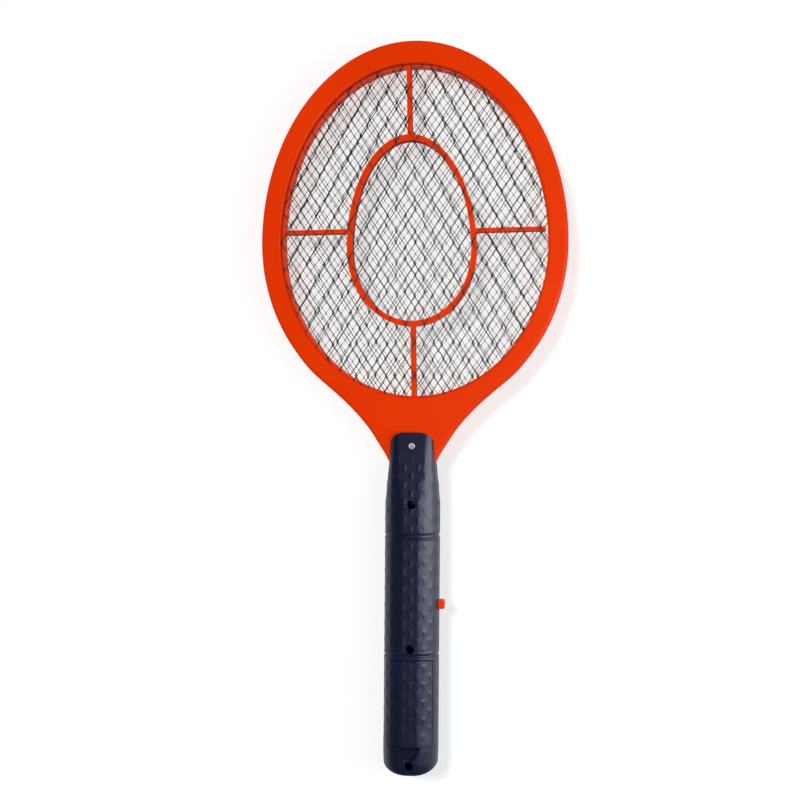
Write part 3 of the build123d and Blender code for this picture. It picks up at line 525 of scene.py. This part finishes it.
# one zigzag strand as a four-sided ribbon: x swings between two bond lines as y climbs, z tips a little at
# each bond, and three slow sine waves carry the whole sheet sideways and along
def zigzagStrand(look, index, shiftX, shiftY, z, warp):
    a, b, bond = look["halfWidth"], look["halfHeight"], look["bondHalf"]
    width, up, down = look["egg"]
    middle = (index + 0.5) * a + shiftX
    if abs(middle) + a * strand["keep"] >= width:
        return None
    share = math.sqrt(1 - ((abs(middle) + a * strand["cutShare"]) / width) ** 2)
    top, bottom = eggY + up * share, eggY - down * share
    n = np.arange(math.floor((bottom - shiftY) / b) - 1, math.ceil((top - shiftY) / b) + 2)
    left = (n + index) % 2 == 0
    bondX = np.repeat(np.where(left, index * a + look["side"], (index + 1) * a - look["side"]) + shiftX, 2)
    bondTip = np.repeat(np.where(left, look["lift"], -look["lift"]), 2)
    bondY = np.stack([n * b - bond, n * b + bond], 1).ravel() + shiftY
    # each bond is a short straight stretch, a little wider than the strand, with a shoulder at both ends
    far = bond + bond * strand["shoulder"]
    y = np.stack([n * b - far, n * b - bond, n * b + bond, n * b + far], 1).ravel() + shiftY
    thin, broad = look["strandWidth"] / 2, look["bondWidth"] / 2
    half = np.tile([thin, broad, broad, thin], len(n))
    gap = strand["endGap"]
    ys = np.concatenate([[bottom], y[(y > bottom + gap) & (y < top - gap)], [top]])
    w = np.interp(ys, y, half)[:, None]
    xs = np.interp(ys, bondY, bondX)
    zs = np.interp(ys, bondY, bondTip) + z
    longWave = warp * np.sin(ys / drift["long"] + index * drift["longTurn"])
    shortWave = warp * drift["shortPart"] * np.sin(ys / drift["short"] + index * drift["shortTurn"])
    xs = xs + longWave + shortWave
    ys = ys + warp * np.sin(xs / drift["across"] + drift["acrossTurn"]) * drift["acrossPart"]
    across = np.array([-1.0, -1.0, 1.0, 1.0])
    through = np.array([-1.0, 1.0, 1.0, -1.0]) * look["strandThick"] / 2
    rings = np.stack([xs[:, None] + w * across, ys[:, None] + 0 * across, zs[:, None] + through], -1)
    return ringTube(rings * mm)


# one sheet: every zigzag strand that falls inside the egg, moved by shiftX and shiftY (mm), then the band
# along its edge, as thick as edge says, and the tab into the neck
def strandSheet(name, nodeName, look, z, shiftX, shiftY, warp, edge):
    reach = int(look["egg"][0] / look["halfWidth"]) + 2
    strands = [zigzagStrand(look, k, shiftX, shiftY, z, warp) for k in range(-reach, reach)]
    parts = [s for s in strands if s is not None]
    parts.append(edgeBand(look, z, edge))
    parts.append(leadTab(nodeName, z))
    points, faces = joinParts(parts)
    obj = putMesh(name, points, faces, meshSteel, "handle", (nodeName,))
    print(name, len(faces), "faces")
    return obj


band = {"around": 180, "inset": -1.6}         # steps round the egg, and its inner side's place, mm


# narrow flat band along the egg, four points across at each of many angles
def edgeBand(look, z, thick):
    angle = np.linspace(0, 2 * math.pi, band["around"], endpoint=False)
    width, up, down = look["egg"]
    high = np.where(np.sin(angle) > 0, up, down)
    outline = []
    inner = band["inset"]
    for inset, dz in ((0, -thick / 2), (0, thick / 2), (inner, thick / 2), (inner, -thick / 2)):
        outline.append(np.stack([(width + inset) * np.cos(angle), eggY + (high + inset) * np.sin(angle),
                                 np.full_like(angle, z + dz)], -1))
    rings = np.stack(outline, 1)
    return rings.reshape(-1, 3) * mm, gridFaces(len(angle), 4, closedRows=True)


tab = {
    "x": 6.2, "halfThick": 0.22,              # the middle sheet's tab is on the left, at -x
    "stations": [(-8.9, 2.0), (-8.5, 2.4), (1.0, 2.4), (3.0, 2.9)],        # y and half width, mm
}


# tab that runs from the sheet into the neck: a flat section carried along y, as wide as the stations say
def leadTab(nodeName, z):
    x = -tab["x"] if nodeName == "mesh_middle" else tab["x"]
    ys, half = np.array(tab["stations"]).T
    thick = tab["halfThick"]
    corners = np.array([[-1, -thick], [-1, thick], [1, thick], [1, -thick]])
    rings = np.stack([x + half[:, None] * corners[:, 0], ys[:, None] + 0 * corners[:, 0],
                      z + np.zeros((len(ys), 1)) + corners[:, 1]], -1)
    return ringTube(rings * mm)


upperZ = (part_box("mesh_upper")[0].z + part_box("mesh_upper")[1].z) / 2 / mm
lowerZ = (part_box("mesh_lower")[0].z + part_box("mesh_lower")[1].z) / 2 / mm
strandSheet("coarseMeshUpper", "mesh_upper", coarse, upperZ,
            shiftX=0.6, shiftY=eggY, warp=0.35, edge=0.5)
strandSheet("coarseMeshLower", "mesh_lower", coarseBack, lowerZ,
            shiftX=4.9, shiftY=eggY - 1.9, warp=0.45, edge=0.5)
strandSheet("fineMeshMiddle", "mesh_middle", fine, midZ,
            shiftX=0.4, shiftY=eggY, warp=0.15, edge=0.4)
print("meshes strung")


# radii and lengths in mm; bare metal reaches capEnd and baseEnd from the ends; the sleeve's two colours meet
# at the share split of the length from the nub
cell = {"radius": 7.05, "nubRadius": 2.65, "around": 64, "capEnd": 1.4, "baseEnd": 0.7, "split": 0.35}


# profile of distance from the nub's end and radius, turned round an axis along Y; toward is 1 when the nub
# points to +Y and -1 when it points to -Y
def cellBody(name, nodeName, toward):
    low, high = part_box(nodeName)
    x, z = (low.x + high.x) / 2 / mm, (low.z + high.z) / 2 / mm
    tip = (high.y if toward > 0 else low.y) / mm
    length = (high.y - low.y) / mm
    r, nub = cell["radius"], cell["nubRadius"]
    nubEnd = [(0.0, 0.01), (0.0, nub - 0.3), (0.15, nub), (1.1, nub), (1.3, nub + 0.3)]
    shoulder = [(1.2, r - 1.6), (1.15, r - 0.9), (1.3, r - 0.25), (1.7, r), (2.2, r + 0.04)]
    baseRim = [(length - 0.9, r + 0.04), (length - 0.4, r - 0.1), (length - 0.1, r - 0.6), (length, r - 1.2)]
    baseEnd = [(length - 0.15, r - 1.6), (length - 0.15, 0.01)]
    profile = np.array(nubEnd + shoulder + baseRim + baseEnd)
    angle = np.arange(cell["around"]) / cell["around"] * 2 * math.pi
    y = tip - toward * profile[:, 0]
    rings = np.stack([x + profile[:, 1:] * np.cos(angle), y[:, None] + 0 * angle,
                      z + profile[:, 1:] * np.sin(angle)], -1)
    points, faces = ringTube(rings * mm)
    if toward < 0:
        faces = np.where(faces[:, 3:] < 0, faces[:, [1, 0, 2, 3]], faces[:, ::-1])
    wrap = cellMaterial(name + "Sleeve", tip - toward * length * cell["split"])
    obj = putMesh(name, points, faces, wrap, "handle", (nodeName,), smooth=True)
    obj.data.materials.append(contactNickel)
    centres = np.empty(len(obj.data.polygons) * 3)
    obj.data.polygons.foreach_get("center", centres)
    centreY = centres[1::3] / mm
    cap = np.abs(centreY - tip) < cell["capEnd"]
    base = np.abs(centreY - (tip - toward * length)) < cell["baseEnd"]
    obj.data.polygons.foreach_set("material_index", (cap | base).astype(int).tolist())
    return obj


cellBody("cellLeft", "battery_left", 1)
cellBody("cellRight", "battery_right", -1)
print("cells made")


# floor and lights, in metres, watts and degrees
studio = {
    "floor": (0.43, 0.455, 0.45), "glow": 0.64, "floorHalf": 3.0, "floorZ": -0.0002,
    "floorRough": 0.9, "floorSpecular": 0.1,
    "sun": 1.95, "sunAngle": 15.0, "sunFrom": (-0.36, 0.32, 1.0),
    "strip": 4.2, "stripSize": (0.40, 1.3), "stripPlace": (0.60, -0.05, 0.34),
    "sheen": 7.0, "sheenSize": (0.30, 1.3), "sheenPlace": (0.58, -0.05, 0.38),
    "stripColour": (0.90, 0.96, 1.0), "world": 0.13,
}


# square floor just under the object, pale and slightly luminous so that it comes out white
def paleFloor():
    mesh = bpy.data.meshes.new("floor")
    half, z = studio["floorHalf"], studio["floorZ"]
    corners = [(-half, -half, z), (half, -half, z), (half, half, z), (-half, half, z)]
    mesh.from_pydata(corners, [], [(0, 1, 2, 3)])
    mat, _, shader, _ = newMaterial("paleFloor")
    shader.inputs["Base Color"].default_value = (*studio["floor"], 1)
    shader.inputs["Roughness"].default_value = studio["floorRough"]
    shader.inputs["Specular IOR Level"].default_value = studio["floorSpecular"]
    shader.inputs["Emission Color"].default_value = (1, 1, 1, 1)
    shader.inputs["Emission Strength"].default_value = studio["glow"]
    mesh.materials.append(mat)
    obj = bpy.data.objects.new("floor", mesh)
    bpy.context.scene.collection.objects.link(obj)


# puts a light at a place and turns its -Z axis to the target
def aim(obj, place, target=(0, 0, 0)):
    obj.location = place
    obj.rotation_euler = (Vector(target) - Vector(place)).to_track_quat("-Z", "Y").to_euler()
    bpy.context.scene.collection.objects.link(obj)


# soft sun, which leaves no highlight of its own
def softSun():
    light = bpy.data.lights.new("sun", "SUN")
    light.energy = studio["sun"]
    light.angle = math.radians(studio["sunAngle"])
    obj = bpy.data.objects.new("sun", light)
    obj.visible_glossy = False
    aim(obj, studio["sunFrom"])


# long rectangular light beside the object, aimed across it
def sideLight(name, diffuse):
    light = bpy.data.lights.new(name, "AREA")
    light.shape = "RECTANGLE"
    light.size, light.size_y = studio[name + "Size"]
    light.energy = studio[name]
    light.color = studio["stripColour"]
    obj = bpy.data.objects.new(name, light)
    obj.visible_diffuse = diffuse
    place = studio[name + "Place"]
    aim(obj, place, (0, place[1], 0))


paleFloor()
softSun()
sideLight("strip", True)
sideLight("sheen", False)                     # only for the long highlight on the grip
world = bpy.data.worlds.new("studio")
world.use_nodes = True
world.node_tree.nodes["Background"].inputs["Color"].default_value = (1, 1, 1, 1)
world.node_tree.nodes["Background"].inputs["Strength"].default_value = studio["world"]
bpy.context.scene.world = world
bpy.context.scene.view_settings.view_transform = "Standard"

# lens, sensor, distance and aim in mm, tilt to the right and roll in degrees
view = {
    "lens": 69.2, "sensor": 36.0, "distance": 930.0,
    "tilt": 5.0, "roll": 0.45, "aim": (-8.25, 4.2, 15.0),
}
tilt, roll = math.radians(view["tilt"]), math.radians(view["roll"])
back = Vector((math.sin(tilt), 0, math.cos(tilt)))
up = Vector((-math.sin(roll), math.cos(roll), 0))
right = up.cross(back).normalized()
up = back.cross(right)
cameraData = bpy.data.cameras.new("camera")
cameraData.lens = view["lens"]
cameraData.sensor_width = view["sensor"]
camera = bpy.data.objects.new("camera", cameraData)
place = (Vector(view["aim"]) + back * view["distance"]) * mm
camera.matrix_world = Matrix.Translation(place) @ Matrix((right, up, back)).transposed().to_4x4()
bpy.context.scene.collection.objects.link(camera)
bpy.context.scene.camera = camera
print("stage set")
